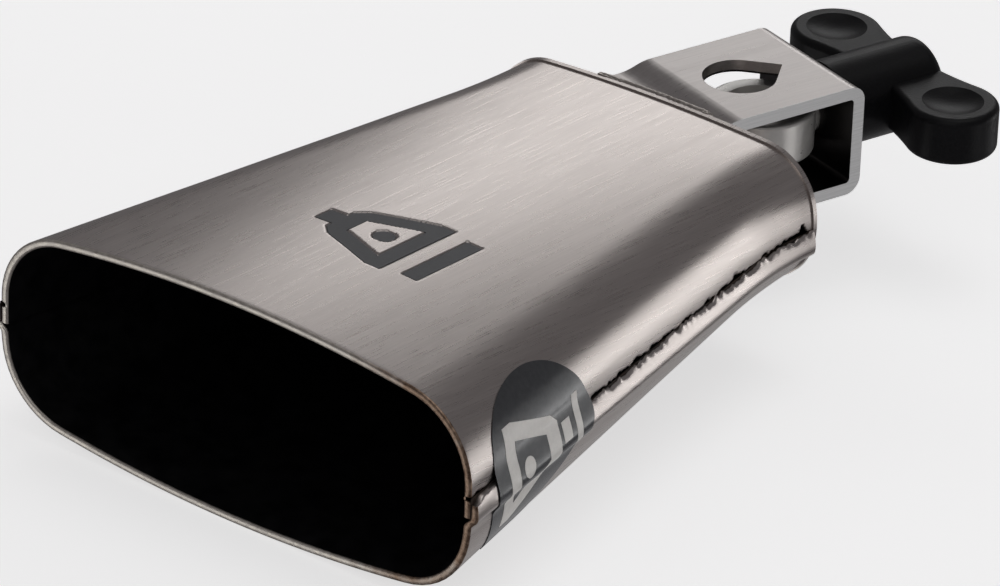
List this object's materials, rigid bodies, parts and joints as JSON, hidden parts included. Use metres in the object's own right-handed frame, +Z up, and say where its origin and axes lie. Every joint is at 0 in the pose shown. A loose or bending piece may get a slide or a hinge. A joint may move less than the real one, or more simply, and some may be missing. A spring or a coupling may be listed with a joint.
{
  "type": "cowbell",
  "caption": "Short wide cowbell of brushed sheet steel, lap seamed at the sides, with a welded rod bracket, eye bolt and wing nut.",
  "frame": {"origin": "under the middle of the whole object, on the surface that the bell lies on", "axes": "+Y from the mouth back to the crown and wing nut, +Z up, +X to the right seen from the mouth; the bell lies on its lower face, so its own axis rises 3.56 degrees towards the crown"},
  "size_m": [0.101, 0.1808, 0.0409],
  "materials": {
    "sheet_steel": "brushed lengthwise, clear coated",
    "braze_metal": "dressed copper braze",
    "mark_enamel": "matt enamel",
    "label_film": "gloss film",
    "weld_metal": "as welded",
    "strap_steel": "brushed along the strap",
    "washer_steel": "zinc plated",
    "eye_steel": "turned and plated",
    "nut_plastic": "fine moulded texture",
    "insert_brass": "turned"
  },
  "bodies": {
    "bell": {"upper_shell": "sheet_steel", "lower_shell": "sheet_steel", "crown_plate": "sheet_steel", "seam_braze_right": "braze_metal", "seam_braze_left": "braze_metal", "mark_infill": "mark_enamel", "side_label": "label_film", "bracket_weld_top": "weld_metal", "bracket_weld_bottom": "weld_metal", "mounting_bracket": "strap_steel", "washer": "washer_steel"},
    "eye_bolt": {"eye_bolt": "eye_steel"},
    "wing_nut": {"wing_nut_body": "nut_plastic", "wing_nut_insert": "insert_brass"}
  },
  "joints": [
    {"name": "wing_nut_turn", "type": "hinge", "parent": "bell", "child": "wing_nut", "pos_m": [0.00777, 0.06077, 0.0298], "axis": [0.309, 0.9492, 0.0591], "range_deg": [0, 2160]},
    {"name": "eye_bolt_slide", "type": "slide", "parent": "bell", "child": "eye_bolt", "axis": [0.309, 0.9492, 0.0591], "range_m": [-0.00751, 0]}
  ],
  "couplings": [
    {"joint": "eye_bolt_slide", "follows": "wing_nut_turn", "m_per_rad": -0.00019894}
  ]
}
